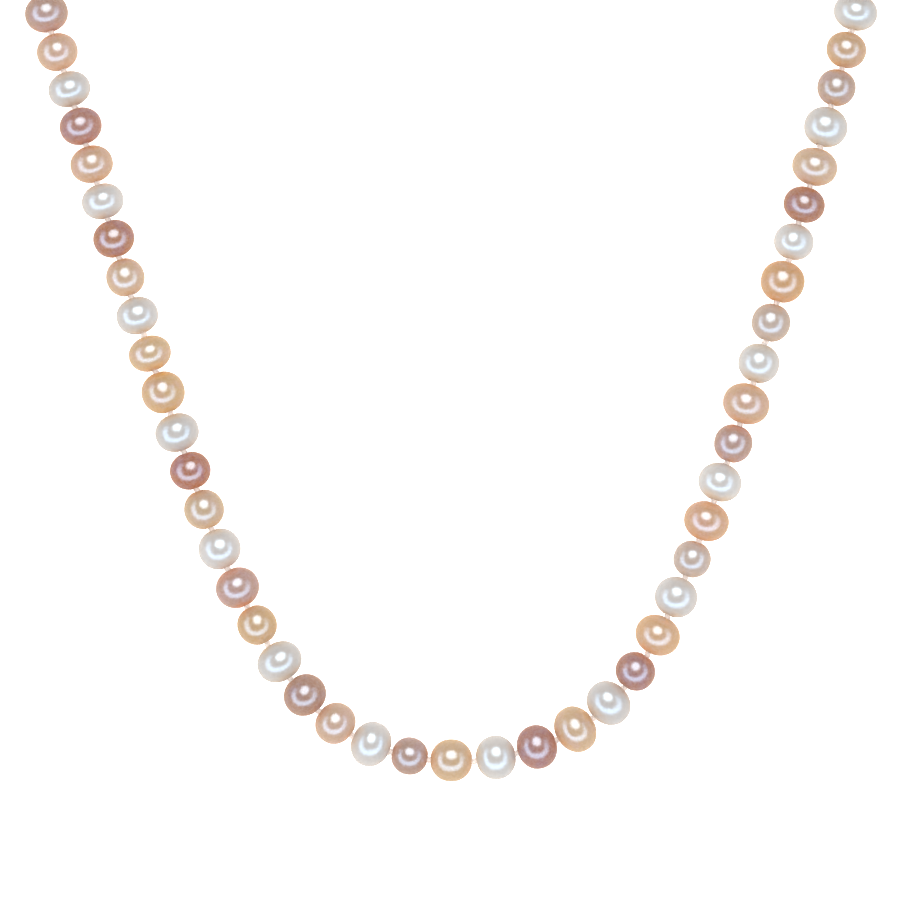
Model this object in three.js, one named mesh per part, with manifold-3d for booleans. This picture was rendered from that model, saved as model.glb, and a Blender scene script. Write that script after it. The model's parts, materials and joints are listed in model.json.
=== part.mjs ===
// A hand-knotted strand of off-round pearls with a box clasp, lying flat on a table, closed.
// Millimetres. +Z is up, and +Y runs from the front pearls to the clasp.
import * as THREE from 'three';
import { mergeVertices } from 'three/addons/utils/BufferGeometryUtils.js';
import Module from 'manifold-3d';

const wasm = await Module();
wasm.setup();

// The pearls of each rigid run, from the front middle knot outwards. A pearl is its colour
// letter, its width across the strand in tenths of a millimetre, and its shape letter.
const RIGHT_RUNS = {
  front_right: 'w66n m66n p72f w70b m60r',
  side_right: 'g68b w64r s56o p68b w66b r58o p70b w62r',
  upper_right: 's58o g66r w60n m62b p68f w66n r58r p60n w66f',
  back_right: 'm62n p62r w62n m60n p64b w60r m62n p60n w62b m60r p60n w60n m60n',
};
const LEFT_RUNS = {
  front_left: 'g64o r56o w68b p64n m66n w70f',
  side_left: 'g60o r66n w64r p60o m62n w66b p66r p64f',
  upper_left: 'w64b p58o m62n w64f p64b m64b w64f p62n r66b',
  back_left: 'w62n p60n m64b w62r p62n m60r w64n p60b m62n w60n p62r m60n w62n m60n',
};
const LENGTH_TO_WIDTH = { f: 0.84, b: 0.88, n: 0.92, r: 0.96, o: 1.0 };
const PEARL_COLOUR = {
  w: ['white', 0xf0ece4],
  p: ['peach', 0xf2cfae],
  g: ['golden', 0xf3cf9f],
  r: ['rose', 0xe3b59f],
  s: ['blush', 0xecd3c6],
  m: ['mauve', 0xc49a9a],
};
const PEARL_SIDES = 12;
const PEARL_RINGS = [-66, -33, 0, 33, 66];
const BACK_SIDES = 10;
const BACK_RINGS = [-68, -34, 0, 34, 68];

// Drilled hole, with the mouths opened out where the knots sit in them.
const BORE_RADIUS = 0.45;
const MOUTH_RADIUS = 0.78;
const MOUTH_DEPTH = 0.4;

// Silk: the cord, its knots, the space a knot keeps between two pearls, and where the cord
// starts again in the next pearl past a knot that hinges.
const SILK_RADIUS = 0.24;
const KNOT_RADIUS = 0.6;
const KNOT_HALF_LENGTH = 0.52;
const KNOT_GAP = 0.3;
const HINGE_GAP = 0.5;
const RESTART = 1.1;
const SILK_SIDES = 6;
const NECK_RADIUS = 0.55;
const REST_LIFT = 0.25;
const FRONT_HEIGHT = 3.5;
const END_HEIGHT = 2.95;

// The line the strand lies on. The first point is the front middle knot.
const RIGHT_LINE = [
  [4.0, 0.3], [13.3, 2.3], [19.1, 4.9], [24.0, 8.8], [28.0, 13.5], [31.3, 18.9],
  [36.4, 30.3], [40.6, 42.1], [44.5, 53.9], [48.1, 65.8], [51.4, 77.8], [54.6, 89.4],
  [57.7, 101.0], [60.6, 112.4], [62.5, 123.5], [60.6, 136.5], [53.0, 147.8], [41.0, 155.4],
  [27.0, 158.0],
];
const BACK_LINE = [[16.0, 158.0], [4.0, 158.0], [-8.0, 158.0]];
const LEFT_LINE = [
  [-19.0, 158.0], [-34.0, 156.6], [-47.6, 151.2], [-57.6, 141.0], [-62.2, 127.5], [-60.8, 112.4],
  [-57.2, 100.9], [-53.8, 89.7], [-50.5, 78.6], [-46.9, 67.0], [-42.9, 55.4], [-38.8, 43.7],
  [-34.4, 31.9], [-28.8, 20.7], [-25.5, 15.3], [-21.8, 10.3], [-17.2, 5.9], [-11.7, 2.7],
  [-5.8, 0.9],
];

// Box clasp, about its own middle: x along the strand, with the mouth towards -x.
const CLASP_Y = 158.0;
const BOX = { length: 8.4, width: 6.0, height: 5.6, corner: 1.6, wall: 0.5, edge: 0.3 };
const BOX_OFFSET = 1.05;
const SLOT = { width: 4.0, height: 1.8 };
const NOTCH = { width: 1.7, top: 2.1 };
const TONGUE = {
  width: 3.4, thickness: 0.4, low: -0.7, deep: 3.2, outer: -6.3, web: 1.2, webTop: -0.05,
};
const LEAF = { width: 3.2, thickness: 0.35, rise: 11.4, length: 6.3, root: 0.3, x: 2.85, z: 0.05 };
const PRESS = { neck: 1.2, from: 6.1, to: 7.6, end: 8.9, width: 2.6, lip: 0.5 };
const RING = { radius: 0.85, wire: 0.28 };
const LOOP = { width: 1.0, wire: 0.22, slack: 0.05 };

const X = new THREE.Vector3(1, 0, 0);
const UP = new THREE.Vector3(0, 0, 1);
const group = new THREE.Group();

function add(name, geometry, colour, roughness, metalness) {
  const material = new THREE.MeshStandardMaterial({ color: colour, roughness, metalness });
  const mesh = new THREE.Mesh(geometry, material);
  mesh.name = name;
  group.add(mesh);
  return mesh;
}

// A closed body through rings of vertices. A station is { at, along, radius }.
// With `around`, the last ring joins the first; otherwise both ends are capped.
function throughRings(stations, sides, around) {
  const positions = [];
  const index = [];
  for (const { at, along, radius } of stations) {
    const across = new THREE.Vector3().crossVectors(UP, along).normalize();
    const over = new THREE.Vector3().crossVectors(along, across).normalize();
    for (let k = 0; k < sides; k += 1) {
      const turn = (2 * Math.PI * k) / sides;
      const point = at.clone();
      point.addScaledVector(over, radius * Math.cos(turn));
      point.addScaledVector(across, radius * Math.sin(turn));
      positions.push(...point);
    }
  }
  const spans = around ? stations.length : stations.length - 1;
  for (let i = 0; i < spans; i += 1) {
    const here = i * sides;
    const next = ((i + 1) % stations.length) * sides;
    for (let k = 0; k < sides; k += 1) {
      const after = (k + 1) % sides;
      index.push(here + k, next + after, here + after);
      index.push(here + k, next + k, next + after);
    }
  }
  if (!around) {
    const last = (stations.length - 1) * sides;
    for (let k = 1; k < sides - 1; k += 1) {
      index.push(0, k, k + 1);
      index.push(last, last + k + 1, last + k);
    }
  }
  const geometry = new THREE.BufferGeometry();
  geometry.setAttribute('position', new THREE.Float32BufferAttribute(positions, 3));
  geometry.setIndex(index);
  return geometry;
}

function station(at, along, offset, radius) {
  return { at: at.clone().addScaledVector(along, offset), along, radius };
}

function ovalRings(pearl, angles) {
  return angles.map((angle) => {
    const t = THREE.MathUtils.degToRad(angle);
    const offset = (pearl.length / 2) * Math.sin(t);
    return station(pearl.centre, pearl.along, offset, (pearl.width / 2) * Math.cos(t));
  });
}

function mouthOffset(pearl) {
  return (pearl.length / 2) * Math.sqrt(1 - (2 * MOUTH_RADIUS / pearl.width) ** 2);
}

function drilledPearl(pearl) {
  const rim = mouthOffset(pearl);
  const inner = rim - MOUTH_DEPTH;
  const { centre, along } = pearl;
  return throughRings([
    station(centre, along, -inner, BORE_RADIUS),
    station(centre, along, -rim, MOUTH_RADIUS),
    ...ovalRings(pearl, PEARL_RINGS),
    station(centre, along, rim, MOUTH_RADIUS),
    station(centre, along, inner, BORE_RADIUS),
  ], PEARL_SIDES, true);
}

// The line and the places of knots and pearls along it.
const line = new THREE.CatmullRomCurve3(
  [...RIGHT_LINE, ...BACK_LINE, ...LEFT_LINE].map(([x, y]) => new THREE.Vector3(x, y, 0)),
  true,
  'centripetal',
);

function nextPlace(place, distance, way) {
  const from = line.getPoint(place);
  let near = place;
  let far = place + way * 0.05;
  for (let i = 0; i < 40; i += 1) {
    const middle = (near + far) / 2;
    if (line.getPoint(middle).distanceTo(from) < distance) near = middle;
    else far = middle;
  }
  return near;
}

function readRuns(runs, side) {
  const pearls = [];
  for (const [run, text] of Object.entries(runs)) {
    const codes = text.split(' ');
    codes.forEach((code, i) => {
      const width = Number(code.slice(1, 3)) / 10;
      pearls.push({
        run,
        side,
        colour: code[0],
        width,
        length: width * LENGTH_TO_WIDTH[code[3]],
        gapAfter: i === codes.length - 1 ? HINGE_GAP : KNOT_GAP,
      });
    });
  }
  return pearls;
}

function string(runs, side, way) {
  const pearls = readRuns(runs, side);
  const widths = pearls.map((pearl) => pearl.width);
  const height = (i) => {
    if (i === widths.length) return END_HEIGHT;
    return (widths[i - 1] + widths[i]) / 4 + REST_LIFT;
  };
  const knots = [line.getPoint(0).setZ(FRONT_HEIGHT)];
  let place = 0;
  let gap = HINGE_GAP;
  pearls.forEach((pearl, i) => {
    const step = gap / 2 + pearl.length + pearl.gapAfter / 2;
    place = nextPlace(place, step, way);
    knots.push(line.getPoint(place).setZ(height(i + 1)));
    pearl.along = new THREE.Vector3().subVectors(knots[i + 1], knots[i]).normalize();
    pearl.centre = knots[i].clone().addScaledVector(pearl.along, gap / 2 + pearl.length / 2);
    gap = pearl.gapAfter;
  });
  return { pearls, knots };
}


const right = string(RIGHT_RUNS, 'right', 1);
const left = string(LEFT_RUNS, 'left', -1);

// Knot rings at a knot between two directions along the cord.
function knotRings(at, before, after) {
  const middle = before.clone().add(after).normalize();
  return [
    station(at, before, -KNOT_HALF_LENGTH, SILK_RADIUS),
    station(at, before, -KNOT_HALF_LENGTH / 2, KNOT_RADIUS * 0.85),
    station(at, middle, 0, KNOT_RADIUS),
    station(at, after, KNOT_HALF_LENGTH / 2, KNOT_RADIUS * 0.85),
    station(at, after, KNOT_HALF_LENGTH, SILK_RADIUS),
  ];
}

// The silk of one run. It holds the knot at its far end, and its near end starts inside the
// first pearl's hole, or with a knot of its own for the run that holds the front middle knot.
function silk(strand, run, holdsFirstKnot) {
  const first = strand.pearls.findIndex((pearl) => pearl.run === run);
  const count = strand.pearls.filter((pearl) => pearl.run === run).length;
  const stations = [];
  const start = strand.pearls[first].along;
  if (holdsFirstKnot) {
    stations.push(...knotRings(strand.knots[first], start, start));
  } else {
    stations.push(station(strand.knots[first], start, RESTART, SILK_RADIUS));
  }
  for (let i = first; i < first + count; i += 1) {
    const before = strand.pearls[i].along;
    const isLast = i === first + count - 1;
    const after = isLast ? before : strand.pearls[i + 1].along;
    stations.push(...knotRings(strand.knots[i + 1], before, after));
  }
  return throughRings(stations, SILK_SIDES, false);
}

// A run of pearls with its silk as one body. Its first pearl keeps its mouth for the knot.
function joinedRun(strand, run) {
  const stations = [];
  const first = strand.pearls.findIndex((pearl) => pearl.run === run);
  strand.pearls.forEach((pearl, i) => {
    if (pearl.run !== run) return;
    const before = pearl.along;
    const after = i + 1 < strand.pearls.length ? strand.pearls[i + 1].along : before;
    if (i === first) {
      const rim = mouthOffset(pearl);
      stations.push(station(pearl.centre, before, MOUTH_DEPTH - rim, BORE_RADIUS));
      stations.push(station(pearl.centre, before, -rim, MOUTH_RADIUS));
    }
    stations.push(...ovalRings(pearl, BACK_RINGS));
    stations.push(station(strand.knots[i + 1], before.clone().add(after).normalize(), 0, NECK_RADIUS));
  });
  const end = strand.pearls[strand.pearls.length - 1].along;
  const knot = strand.knots[strand.knots.length - 1];
  stations.push(station(knot, end, KNOT_HALF_LENGTH, SILK_RADIUS));
  return throughRings(stations, BACK_SIDES, false);
}

for (const strand of [right, left]) {
  strand.pearls.forEach((pearl, i) => {
    if (pearl.run.startsWith('back')) return;
    const number = String(i + 1).padStart(2, '0');
    const [colourName, colour] = PEARL_COLOUR[pearl.colour];
    const mesh = add(`pearl_${pearl.side}_${number}`, drilledPearl(pearl), colour, 0.22, 0);
    mesh.userData = { run: pearl.run, colour: colourName };
  });
}
for (const part of ['front', 'side', 'upper']) {
  add(`silk_${part}_right`, silk(right, `${part}_right`, part === 'front'), 0xefe6da, 0.85, 0);
  add(`silk_${part}_left`, silk(left, `${part}_left`, false), 0xefe6da, 0.85, 0);
}
add('back_run_right', joinedRun(right, 'back_right'), 0xf0ece4, 0.22, 0);
add('back_run_left', joinedRun(left, 'back_left'), 0xf0ece4, 0.22, 0);

// Clasp
function solidOf(geometry) {
  const bare = geometry.clone();
  bare.deleteAttribute('normal');
  bare.deleteAttribute('uv');
  const merged = mergeVertices(bare, 1e-5);
  return new wasm.Manifold(new wasm.Mesh({
    numProp: 3,
    vertProperties: new Float32Array(merged.attributes.position.array),
    triVerts: new Uint32Array(merged.index.array),
  }));
}

function geometryOf(solid) {
  const mesh = solid.getMesh();
  const geometry = new THREE.BufferGeometry();
  geometry.setAttribute('position', new THREE.BufferAttribute(mesh.vertProperties, 3));
  geometry.setIndex(new THREE.BufferAttribute(mesh.triVerts, 1));
  return geometry;
}

function block(x0, x1, width, z0, z1) {
  const geometry = new THREE.BoxGeometry(x1 - x0, width, z1 - z0);
  return solidOf(geometry.translate((x0 + x1) / 2, 0, (z0 + z1) / 2));
}

// A bar along x with a rounded rectangle section. `edge` rounds off its two ends.
function bar(x0, x1, width, height, corner, edge) {
  const w = width / 2 - edge;
  const h = height / 2 - edge;
  const r = corner - edge;
  const shape = new THREE.Shape();
  shape.moveTo(-w + r, -h);
  shape.lineTo(w - r, -h);
  shape.absarc(w - r, -h + r, r, -Math.PI / 2, 0, false);
  shape.lineTo(w, h - r);
  shape.absarc(w - r, h - r, r, 0, Math.PI / 2, false);
  shape.lineTo(-w + r, h);
  shape.absarc(-w + r, h - r, r, Math.PI / 2, Math.PI, false);
  shape.lineTo(-w, -h + r);
  shape.absarc(-w + r, -h + r, r, Math.PI, 1.5 * Math.PI, false);
  const geometry = new THREE.ExtrudeGeometry(shape, {
    depth: x1 - x0 - 2 * edge,
    bevelEnabled: edge > 0,
    bevelThickness: edge,
    bevelSize: edge,
    bevelSegments: 1,
    curveSegments: 4,
  });
  geometry.rotateX(Math.PI / 2).rotateZ(Math.PI / 2);
  return solidOf(geometry.translate(x0 + edge, 0, 0));
}

function uprightRing(x) {
  const geometry = new THREE.TorusGeometry(RING.radius, RING.wire, 6, 14);
  return solidOf(geometry.rotateX(Math.PI / 2).translate(x, 0, 0));
}

const boxEnd = BOX.length / 2;
const inner = boxEnd - BOX.wall;
const ringAtBox = boxEnd + RING.radius;
const ringAtTongue = TONGUE.outer - RING.radius;

const cavity = bar(
  -inner,
  inner,
  BOX.width - 2 * BOX.wall,
  BOX.height - 2 * BOX.wall,
  BOX.corner - BOX.wall,
  0,
);
const box = bar(-boxEnd, boxEnd, BOX.width, BOX.height, BOX.corner, BOX.edge)
  .subtract(cavity)
  .subtract(block(-boxEnd - 1, -inner + 0.1, SLOT.width, -SLOT.height / 2, SLOT.height / 2))
  .subtract(block(-boxEnd - 1, -inner + 0.1, NOTCH.width, 0, NOTCH.top))
  .add(uprightRing(ringAtBox).subtract(block(0, boxEnd - 0.1, 9, -9, 9)));

const tongueTop = TONGUE.low + TONGUE.thickness;
const tongue = block(TONGUE.outer, TONGUE.deep, TONGUE.width, TONGUE.low, tongueTop)
  .add(block(TONGUE.outer, -boxEnd - 0.3, TONGUE.web, tongueTop - 0.1, TONGUE.webTop))
  .add(uprightRing(ringAtTongue).subtract(block(TONGUE.outer + 0.1, 0, 9, -9, 9)));

// The spring leaf, drawn flat from its root towards -x and then raised.
const half = LEAF.thickness / 2;
const root = new THREE.CylinderGeometry(LEAF.root, LEAF.root, LEAF.width, 12);
const leaf = solidOf(root)
  .add(block(-LEAF.length, 0, LEAF.width, -half, half))
  .add(block(-PRESS.to, -PRESS.from, PRESS.neck, -half, half))
  .add(block(-PRESS.end, -PRESS.to + 0.05, PRESS.width, -half, half))
  .add(block(-PRESS.end, -PRESS.end + 0.4, PRESS.width, 0, half + PRESS.lip));
const leafGeometry = geometryOf(leaf)
  .rotateY(THREE.MathUtils.degToRad(LEAF.rise))
  .translate(LEAF.x, 0, LEAF.z);

const claspX = (right.knots.at(-1).x + left.knots.at(-1).x) / 2 + BOX_OFFSET;
const claspZ = BOX.height / 2;

// A long loop of covered silk from a ring to the end knot of a back run.
function wireLoop(from, to) {
  const h = LOOP.width / 2;
  const middle = (from + to) / 2;
  const reach = Math.abs(to - from) / 2 - h;
  const points = [];
  for (let k = 0; k < 16; k += 1) {
    const turn = (2 * Math.PI * (k + 0.5)) / 16;
    const side = Math.cos(turn) > 0 ? reach : -reach;
    points.push(new THREE.Vector3(middle + side + h * Math.cos(turn), h * Math.sin(turn), 0));
  }
  const around = new THREE.CatmullRomCurve3(points, true, 'centripetal');
  const stations = [];
  for (let k = 0; k < 24; k += 1) {
    const at = around.getPointAt(k / 24);
    stations.push({ at, along: around.getTangentAt(k / 24), radius: LOOP.wire });
  }
  return throughRings(stations, 6, true);
}

const inRing = RING.radius - RING.wire - LOOP.wire - LOOP.slack;
const byKnot = KNOT_HALF_LENGTH + LOOP.wire + LOOP.slack;
const loops = {
  loop_right: wireLoop(ringAtBox + inRing, right.knots.at(-1).x - claspX - byKnot),
  loop_left: wireLoop(left.knots.at(-1).x - claspX + byKnot, ringAtTongue - inRing),
};
const claspParts = {
  clasp_box: geometryOf(box),
  clasp_tongue: geometryOf(tongue),
  clasp_spring: leafGeometry,
  ...loops,
};
for (const [name, geometry] of Object.entries(claspParts)) {
  add(name, geometry.translate(claspX, CLASP_Y, claspZ), 0xd9b36c, 0.25, 1);
}

// The origin is the middle of the strand's box in x and y, on the table.
const bounds = new THREE.Box3().setFromObject(group);
const shift = new THREE.Vector3(
  -(bounds.min.x + bounds.max.x) / 2,
  -(bounds.min.y + bounds.max.y) / 2,
  -bounds.min.z,
);
for (const mesh of group.children) mesh.geometry.translate(shift.x, shift.y, shift.z);

export default group;
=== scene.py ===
"""Looks for a hand-knotted strand of off-round pearls with a box clasp.

Metres, in the row frame. Lengths below are millimetres until they become mesh vertices.
"""
import json
import math

import bpy
import numpy as np
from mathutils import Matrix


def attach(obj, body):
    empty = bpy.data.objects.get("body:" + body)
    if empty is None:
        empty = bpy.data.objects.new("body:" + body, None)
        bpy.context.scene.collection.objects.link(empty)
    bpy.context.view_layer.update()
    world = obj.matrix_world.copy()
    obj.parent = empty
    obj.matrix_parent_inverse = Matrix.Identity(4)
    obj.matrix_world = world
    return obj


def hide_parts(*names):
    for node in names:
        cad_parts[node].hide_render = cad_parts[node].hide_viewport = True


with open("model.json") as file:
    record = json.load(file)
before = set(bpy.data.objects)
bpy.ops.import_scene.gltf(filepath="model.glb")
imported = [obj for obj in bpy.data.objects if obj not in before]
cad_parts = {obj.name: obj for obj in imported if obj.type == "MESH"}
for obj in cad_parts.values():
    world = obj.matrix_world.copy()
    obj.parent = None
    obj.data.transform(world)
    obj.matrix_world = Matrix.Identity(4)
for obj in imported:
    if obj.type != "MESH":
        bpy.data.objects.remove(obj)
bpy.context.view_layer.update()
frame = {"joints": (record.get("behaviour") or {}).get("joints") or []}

MM = 0.001
TAU = 2 * math.pi
UP = np.array([0.0, 0.0, 1.0])
rng = np.random.default_rng(18)

# ---------------------------------------------------------------- the strand, as in the CAD
# The pearls of each run, outwards from the front middle knot: a colour letter, the width
# across the strand in tenths of a millimetre, and a shape letter.
RUNS = {
    "right": {
        "front_right": "w66n m66n p72f w70b m60r",
        "side_right": "g68b w64r s56o p68b w66b r58o p70b w62r",
        "upper_right": "s58o g66r w60n m62b p68f w66n r58r p60n w66f",
        "back_right": "m62n p62r w62n m60n p64b w60r m62n p60n w62b m60r p60n w60n m60n",
    },
    "left": {
        "front_left": "g64o r56o w68b p64n m66n w70f",
        "side_left": "g60o r66n w64r p60o m62n w66b p66r p64f",
        "upper_left": "w64b p58o m62n w64f p64b m64b w64f p62n r66b",
        "back_left": "w62n p60n m64b w62r p62n m60r w64n p60b m62n w60n p62r m60n w62n m60n",
    },
}
LENGTH_TO_WIDTH = {"f": 0.84, "b": 0.88, "n": 0.92, "r": 0.96, "o": 1.0}
KNOT_HALF_LENGTH = 0.52
KNOT_GAP = 0.3
HINGE_GAP = 0.5
REST_LIFT = 0.25
FRONT_HEIGHT = 3.5
END_HEIGHT = 2.95
LINE = np.array([
    [4.0, 0.3], [13.3, 2.3], [19.1, 4.9], [24.0, 8.8], [28.0, 13.5], [31.3, 18.9],
    [36.4, 30.3], [40.6, 42.1], [44.5, 53.9], [48.1, 65.8], [51.4, 77.8], [54.6, 89.4],
    [57.7, 101.0], [60.6, 112.4], [62.5, 123.5], [60.6, 136.5], [53.0, 147.8], [41.0, 155.4],
    [27.0, 158.0], [16.0, 158.0], [4.0, 158.0], [-8.0, 158.0],
    [-19.0, 158.0], [-34.0, 156.6], [-47.6, 151.2], [-57.6, 141.0], [-62.2, 127.5],
    [-60.8, 112.4], [-57.2, 100.9], [-53.8, 89.7], [-50.5, 78.6], [-46.9, 67.0], [-42.9, 55.4],
    [-38.8, 43.7], [-34.4, 31.9], [-28.8, 20.7], [-25.5, 15.3], [-21.8, 10.3], [-17.2, 5.9],
    [-11.7, 2.7], [-5.8, 0.9],
])
CLASP_Y = 158.0
BOX = {"length": 8.4, "width": 6.0, "height": 5.6, "corner": 1.6, "wall": 0.5}
BOX_OFFSET = 1.05
SLOT = {"width": 4.0, "height": 1.8}
NOTCH = {"width": 1.7, "top": 2.1}
TONGUE = {"width": 3.4, "thickness": 0.4, "low": -0.7, "deep": 3.2, "outer": -6.3,
          "web": 1.2, "web_top": -0.05}
LEAF = {"width": 3.2, "thickness": 0.35, "rise": 11.4, "length": 6.3, "root": 0.3,
        "x": 2.85, "z": 0.05}
PRESS = {"neck": 1.2, "from": 6.1, "to": 7.6, "end": 8.9, "width": 2.6, "lip": 0.5}
RING = {"radius": 0.85, "wire": 0.28}
LOOP = {"width": 1.0, "wire": 0.22, "slack": 0.05}

HALVINGS = 40

hinge = next(j for j in frame["joints"] if j["name"] == "open_at_clasp")
SHIFT = np.array(hinge["pos_m"]) / MM - np.array([LINE[0][0], LINE[0][1], FRONT_HEIGHT])


def line_point(t):
    """A point of the closed centripetal Catmull-Rom line, t running from 0 to 1 round it."""
    count = len(LINE)
    p = count * t
    i = math.floor(p)
    w = p - i
    p0, p1, p2, p3 = (LINE[(i + k) % count] for k in (-1, 0, 1, 2))
    d0, d1, d2 = (math.sqrt(np.linalg.norm(b - a)) for a, b in ((p0, p1), (p1, p2), (p2, p3)))
    t1 = ((p1 - p0) / d0 - (p2 - p0) / (d0 + d1) + (p2 - p1) / d1) * d1
    t2 = ((p2 - p1) / d1 - (p3 - p1) / (d1 + d2) + (p3 - p2) / d2) * d1
    c2 = -3 * p1 + 3 * p2 - 2 * t1 - t2
    c3 = 2 * p1 - 2 * p2 + t1 + t2
    return p1 + t1 * w + c2 * w * w + c3 * w * w * w


def next_place(place, distance, way):
    """The place on the line that is a straight distance from this one, found by halving."""
    longest = 0.05
    start = line_point(place)
    near, far = place, place + way * longest
    for _ in range(HALVINGS):
        middle = (near + far) / 2
        if np.linalg.norm(line_point(middle) - start) < distance:
            near = middle
        else:
            far = middle
    return near


def unit(v):
    return v / np.linalg.norm(v)


def string(side, way):
    """The pearls and knots of one half of the strand, in strand coordinates."""
    pearls = []
    for run, text in RUNS[side].items():
        codes = text.split()
        for i, code in enumerate(codes):
            width = int(code[1:3]) / 10
            pearls.append({
                "run": run, "colour": code[0], "width": width,
                "length": width * LENGTH_TO_WIDTH[code[3]],
                "gap_after": HINGE_GAP if i == len(codes) - 1 else KNOT_GAP,
                "name": f"{side}_{len(pearls) + 1:02d}",
            })
    widths = [p["width"] for p in pearls]
    knots = [np.array([*line_point(0), FRONT_HEIGHT])]
    place, gap = 0.0, HINGE_GAP
    for i, pearl in enumerate(pearls):
        place = next_place(place, gap / 2 + pearl["length"] + pearl["gap_after"] / 2, way)
        last = i + 1 == len(widths)
        z = END_HEIGHT if last else (widths[i] + widths[i + 1]) / 4 + REST_LIFT
        knots.append(np.array([*line_point(place), z]))
        pearl["along"] = unit(knots[i + 1] - knots[i])
        pearl["centre"] = knots[i] + pearl["along"] * (gap / 2 + pearl["length"] / 2)
        gap = pearl["gap_after"]
    return {"pearls": pearls, "knots": knots}


STRANDS = {"right": string("right", 1), "left": string("left", -1)}
last_right = STRANDS["right"]["knots"][-1]
last_left = STRANDS["left"]["knots"][-1]
CLASP = np.array([(last_right[0] + last_left[0]) / 2 + BOX_OFFSET, CLASP_Y, BOX["height"] / 2])


# ---------------------------------------------------------------- mesh helpers
def make_object(name, points, faces, material, smooth=True, **attributes):
    """A mesh object from points in row millimetres. An attribute has one number or one vector
    for each vertex."""
    mesh = bpy.data.meshes.new(name)
    mesh.from_pydata((np.asarray(points) * MM).tolist(), [], [tuple(f) for f in faces])
    for key, values in attributes.items():
        values = np.asarray(values, np.float32)
        if values.ndim == 2:
            mesh.attributes.new(key, "FLOAT_VECTOR", "POINT").data.foreach_set(
                "vector", values.ravel())
        else:
            mesh.attributes.new(key, "FLOAT", "POINT").data.foreach_set("value", values)
    mesh.polygons.foreach_set("use_smooth", [smooth] * len(mesh.polygons))
    mesh.materials.append(material)
    mesh.update()
    piece = bpy.data.objects.new(name, mesh)
    bpy.context.scene.collection.objects.link(piece)
    return piece


def ring_faces(rings, sides, closed, first=0):
    """Quads through rings of vertices, facing outwards where the rings turn left along the way."""
    spans = rings if closed else rings - 1
    i, k = np.meshgrid(np.arange(spans), np.arange(sides), indexing="ij")
    here, nxt = i * sides, (i + 1) % rings * sides
    after = (k + 1) % sides
    return (first + np.stack([here + k, here + after, nxt + after, nxt + k], -1)
            ).reshape(-1, 4).tolist()


def frame_of(along):
    """The level direction across the strand, and the direction square to both."""
    across = unit(np.cross(UP, along))
    return across, np.cross(along, across)


def tube(path, radius, sides, closed=False):
    """A round tube along a path: its points, its faces, and for each vertex how far along it is
    in mm and its turn. The turn is carried along without twist, and shared out when closed."""
    upright = 0.8
    path = np.asarray(path, float)
    count = len(path)
    ahead = np.roll(path, -1, 0) - path
    behind = path - np.roll(path, 1, 0)
    if not closed:
        ahead[-1], behind[0] = behind[-1], ahead[0]
    tangent = ahead + behind
    tangent /= np.linalg.norm(tangent, axis=1)[:, None]
    normal = np.zeros_like(path)
    seed = UP if abs(tangent[0][2]) < upright else np.array([1.0, 0, 0])
    normal[0] = unit(np.cross(seed, tangent[0]))
    for i in range(1, count):
        n = normal[i - 1] - tangent[i] * (normal[i - 1] @ tangent[i])
        normal[i] = unit(n)
    if closed:
        back = unit(normal[-1] - tangent[0] * (normal[-1] @ tangent[0]))
        twist = math.atan2(np.cross(normal[0], back) @ tangent[0], normal[0] @ back)
        angle = -twist * np.arange(count) / count
        other = np.cross(tangent, normal)
        normal = normal * np.cos(angle)[:, None] + other * np.sin(angle)[:, None]
    other = np.cross(tangent, normal)
    turn = np.arange(sides) / sides
    c, s = np.cos(TAU * turn), np.sin(TAU * turn)
    points = (path[:, None] + radius * (normal[:, None] * c[None, :, None]
                                        + other[:, None] * s[None, :, None]))
    step = np.linalg.norm(np.diff(path, axis=0), axis=1)
    length = np.concatenate([[0], np.cumsum(step)])
    own = np.stack(np.broadcast_arrays(length[:, None], turn[None], 0 * turn[None]), -1)
    faces = ring_faces(count, sides, closed)
    if not closed:
        faces.append(tuple(range(sides))[::-1])
        faces.append(tuple(range((count - 1) * sides, count * sides)))
    return points.reshape(-1, 3), faces, own.reshape(-1, 3)


class Parts:
    """Several bodies gathered into the mesh of one piece."""

    def __init__(self):
        self.points, self.faces, self.own, self.count = [], [], [], 0

    def add(self, points, faces, own):
        self.faces += [tuple(self.count + v for v in f) for f in faces]
        self.points.append(points)
        self.own.append(own)
        self.count += len(points)

    def object(self, name, material):
        return make_object(name, np.concatenate(self.points) + SHIFT, self.faces, material,
                           own=np.concatenate(self.own))


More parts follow.
